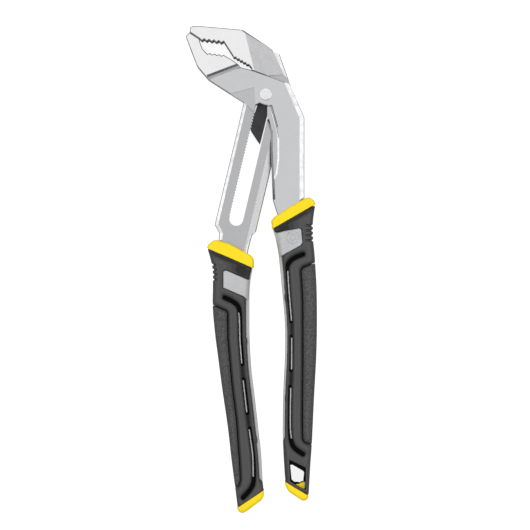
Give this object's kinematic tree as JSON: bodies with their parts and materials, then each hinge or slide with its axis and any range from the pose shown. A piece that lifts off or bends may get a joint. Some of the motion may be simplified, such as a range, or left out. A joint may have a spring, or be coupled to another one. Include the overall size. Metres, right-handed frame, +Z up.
{
  "type": "tongue and groove pliers",
  "caption": "Box-joint tongue and groove pliers with a toothed slot, a sprung pawl, angled toothed jaws and cushioned handles with a hanging hole.",
  "frame": {"origin": "centre of the bounding box's underside, with the tool lying flat on its back face", "axes": "+Y along the tool from the handle ends to the jaws, +Z up through its thickness toward the front face, +X to the right seen from the front"},
  "size_m": [0.0804, 0.2984, 0.019],
  "materials": {
    "forged_steel": "satin chrome over a fine belt grain",
    "pin_steel": "satin",
    "phosphated_steel": "matte dark phosphate",
    "core_plastic": "matte light grey",
    "grip_rubber": "soft matte black",
    "pad_rubber": "finely textured matte black",
    "yellow_plastic": "semi-gloss yellow"
  },
  "bodies": {
    "slot_arm_body": {"slot_arm": "forged_steel", "left_core": "core_plastic", "left_grip": "grip_rubber", "left_pad": "pad_rubber", "left_collar": "yellow_plastic", "left_end_cap": "yellow_plastic"},
    "pin_carriage": {"pivot_pin": "pin_steel", "pin_washer": "pin_steel"},
    "pawl_body": {"pawl": "phosphated_steel", "pawl_spring": "pin_steel"},
    "pivot_arm_body": {"pivot_arm": "forged_steel", "right_core": "core_plastic", "right_grip": "grip_rubber", "right_pad": "pad_rubber", "right_collar": "yellow_plastic", "right_end_cap": "yellow_plastic"}
  },
  "joints": [
    {"name": "slot_slide", "type": "slide", "parent": "slot_arm_body", "child": "pin_carriage", "axis": [-0.2317, -0.9728, 0], "range_m": [0, 0.0432]},
    {"name": "handle_hinge", "type": "hinge", "parent": "pin_carriage", "child": "pivot_arm_body", "pos_m": [0.0088, 0.1074, 0.0095], "axis": [0, 0, 1], "range_deg": [0, 26]},
    {"name": "pawl_hinge", "type": "hinge", "parent": "pin_carriage", "child": "pawl_body", "pos_m": [0.0088, 0.1074, 0.0095], "axis": [0, 0, 1], "range_deg": [0, 1], "stiffness_Nm_per_rad": 0.05, "springref_deg": -5.73}
  ]
}
